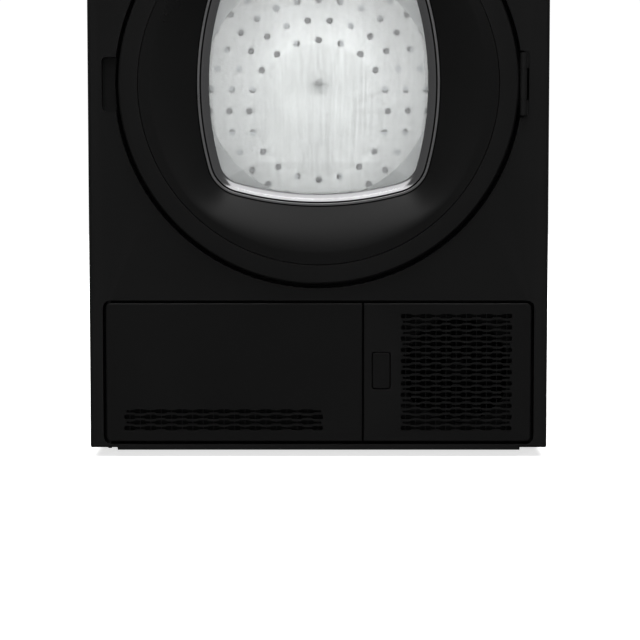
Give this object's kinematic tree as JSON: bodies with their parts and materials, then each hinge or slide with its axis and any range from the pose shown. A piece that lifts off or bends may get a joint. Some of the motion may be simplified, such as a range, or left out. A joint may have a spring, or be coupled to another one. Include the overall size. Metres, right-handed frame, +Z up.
{
  "type": "clothes dryer",
  "caption": "Front-loading condenser tumble dryer with round door, cushion-shaped window, vented kickplate flap, drum, drive and removable water tank.",
  "frame": {"origin": "bottom centre of the bounding box, on the floor", "axes": "+Z up, the front faces -Y, +X to the right seen from the front"},
  "size_m": [0.597, 0.6, 0.845],
  "materials": {
    "body_paint": "satin black paint",
    "trim_plastic": "satin black moulding",
    "gloss_plastic": "polished black moulding",
    "window_glass": "lightly tinted",
    "chrome_trim": "bright",
    "inner_plastic": "light grey moulding",
    "drum_steel": "fine brushed stainless",
    "galvanised": "galvanised sheet",
    "felt": "pressed felt",
    "rubber": "soft rubber",
    "fins": "thin fins",
    "motor_metal": "painted castings",
    "pin_steel": "turned steel",
    "heater_steel": "heat-tinted sheath",
    "bronze": "sintered bush",
    "base_plastic": "moulded polypropylene",
    "latch_green": "coloured lever",
    "screen": "smoked display cover",
    "key_plastic": "satin silver-grey key",
    "worktop_laminate": "fine-grained laminate"
  },
  "bodies": {
    "cabinet": {"base_tray": "base_plastic", "side_panel_left": "body_paint", "side_panel_right": "body_paint", "rear_panel": "galvanised", "rear_duct_cover": "galvanised", "front_panel": "body_paint", "vent_panel": "trim_plastic", "worktop": "worktop_laminate", "control_fascia": "trim_plastic", "display_window": "screen", "front_bulkhead": "inner_plastic", "felt_seals": "felt", "rear_bulkhead": "galvanised", "rear_bearing": "bronze", "heater_element": "heater_steel", "door_hinge_bracket": "body_paint", "hinge_pins": "pin_steel", "door_lock": "base_plastic", "door_gasket": "rubber", "roller_axles": "pin_steel", "motor": "motor_metal", "drive_belt": "rubber", "fan_housing": "base_plastic", "condenser_frame": "base_plastic", "condenser_core": "fins", "tank_housing": "inner_plastic", "drain_pump": "base_plastic", "cord_gland": "rubber", "cabinet_screws": "pin_steel", "rear_feet": "rubber"},
    "door": {"door_outer_ring": "trim_plastic", "door_surround": "gloss_plastic", "door_window_trim": "chrome_trim", "door_window": "window_glass", "door_liner": "inner_plastic", "door_inner_glass": "window_glass", "door_hinge_arm": "body_paint", "door_latch_hook": "inner_plastic"},
    "drum": {"drum_shell": "drum_steel", "drum_back": "drum_steel", "drum_lifters": "inner_plastic"},
    "support_roller_left": {"support_roller_left": "rubber"},
    "support_roller_right": {"support_roller_right": "rubber"},
    "motor_rotor": {"motor_shaft": "pin_steel", "cooling_fan": "base_plastic", "process_fan": "inner_plastic"},
    "tension_arm": {"tension_arm": "galvanised"},
    "idler_pulley": {"idler_pulley": "inner_plastic"},
    "kickplate_flap": {"kickplate_flap": "trim_plastic"},
    "latch_button": {"latch_button": "trim_plastic"},
    "condenser_latch_left": {"condenser_latch_left": "latch_green"},
    "condenser_latch_right": {"condenser_latch_right": "latch_green"},
    "lint_filter": {"lint_filter": "latch_green"},
    "water_tank": {"water_tank": "inner_plastic", "tank_drawer_front": "trim_plastic"},
    "program_knob": {"program_knob": "key_plastic"},
    "start_button": {"start_button": "key_plastic"},
    "option_button": {"option_button": "key_plastic"},
    "front_foot_left": {"front_foot_left": "rubber"},
    "front_foot_right": {"front_foot_right": "rubber"}
  },
  "joints": [
    {"name": "door_hinge", "type": "hinge", "parent": "cabinet", "child": "door", "pos_m": [0.2645, -0.283, 0.485], "axis": [0, 0, 1], "range_deg": [0, 150]},
    {"name": "drum_spin", "type": "hinge", "parent": "cabinet", "child": "drum", "pos_m": [0, 0, 0.455], "axis": [0, 1, 0], "continuous": true},
    {"name": "roller_left_spin", "type": "hinge", "parent": "cabinet", "child": "support_roller_left", "pos_m": [-0.14, -0.174, 0.18032], "axis": [0, 1, 0], "continuous": true},
    {"name": "roller_right_spin", "type": "hinge", "parent": "cabinet", "child": "support_roller_right", "pos_m": [0.14, -0.174, 0.18032], "axis": [0, 1, 0], "continuous": true},
    {"name": "rotor_spin", "type": "hinge", "parent": "cabinet", "child": "motor_rotor", "pos_m": [0.181, 0, 0.11], "axis": [0, 1, 0], "continuous": true},
    {"name": "tension_arm_pivot", "type": "hinge", "parent": "cabinet", "child": "tension_arm", "pos_m": [0.15, 0.05, 0.15], "axis": [0, 1, 0], "range_deg": [0, 8], "stiffness_Nm_per_rad": 3, "springref_deg": -14.32},
    {"name": "idler_spin", "type": "hinge", "parent": "tension_arm", "child": "idler_pulley", "pos_m": [0.1, 0.04, 0.14], "axis": [0, 1, 0], "continuous": true},
    {"name": "flap_hinge", "type": "hinge", "parent": "cabinet", "child": "kickplate_flap", "pos_m": [-0.273, -0.2755, 0.11065], "axis": [0, 0, -1], "range_deg": [0, 100]},
    {"name": "latch_button_press", "type": "slide", "parent": "cabinet", "child": "latch_button", "axis": [0, 1, 0], "range_m": [0, 0.004], "stiffness_N_per_m": 400, "springref_m": -0.002},
    {"name": "condenser_latch_left_turn", "type": "hinge", "parent": "cabinet", "child": "condenser_latch_left", "pos_m": [-0.225, -0.253, 0.161], "axis": [0, 1, 0], "range_deg": [0, 90]},
    {"name": "condenser_latch_right_turn", "type": "hinge", "parent": "cabinet", "child": "condenser_latch_right", "pos_m": [-0.055, -0.253, 0.161], "axis": [0, -1, 0], "range_deg": [0, 90]},
    {"name": "lint_filter_lift", "type": "slide", "parent": "cabinet", "child": "lint_filter", "axis": [0, 0, 1], "range_m": [0, 0.115]},
    {"name": "water_tank_slide", "type": "slide", "parent": "cabinet", "child": "water_tank", "axis": [0, -1, 0], "range_m": [0, 0.4]},
    {"name": "program_knob_turn", "type": "hinge", "parent": "cabinet", "child": "program_knob", "pos_m": [0, -0.29, 0.7895], "axis": [0, -1, 0], "continuous": true},
    {"name": "start_button_press", "type": "slide", "parent": "cabinet", "child": "start_button", "axis": [0, 1, 0], "range_m": [0, 0.0015], "stiffness_N_per_m": 900, "springref_m": -0.001},
    {"name": "option_button_press", "type": "slide", "parent": "cabinet", "child": "option_button", "axis": [0, 1, 0], "range_m": [0, 0.0015], "stiffness_N_per_m": 900, "springref_m": -0.001},
    {"name": "front_foot_left_level", "type": "slide", "parent": "cabinet", "child": "front_foot_left", "axis": [0, 0, -1], "range_m": [0, 0.011]},
    {"name": "front_foot_right_level", "type": "slide", "parent": "cabinet", "child": "front_foot_right", "axis": [0, 0, -1], "range_m": [0, 0.011]}
  ],
  "couplings": [
    {"joint": "roller_left_spin", "follows": "drum_spin", "ratio": -11.32},
    {"joint": "roller_right_spin", "follows": "drum_spin", "ratio": -11.32},
    {"joint": "rotor_spin", "follows": "drum_spin", "ratio": 27.6},
    {"joint": "idler_spin", "follows": "drum_spin", "ratio": 14.73}
  ]
}
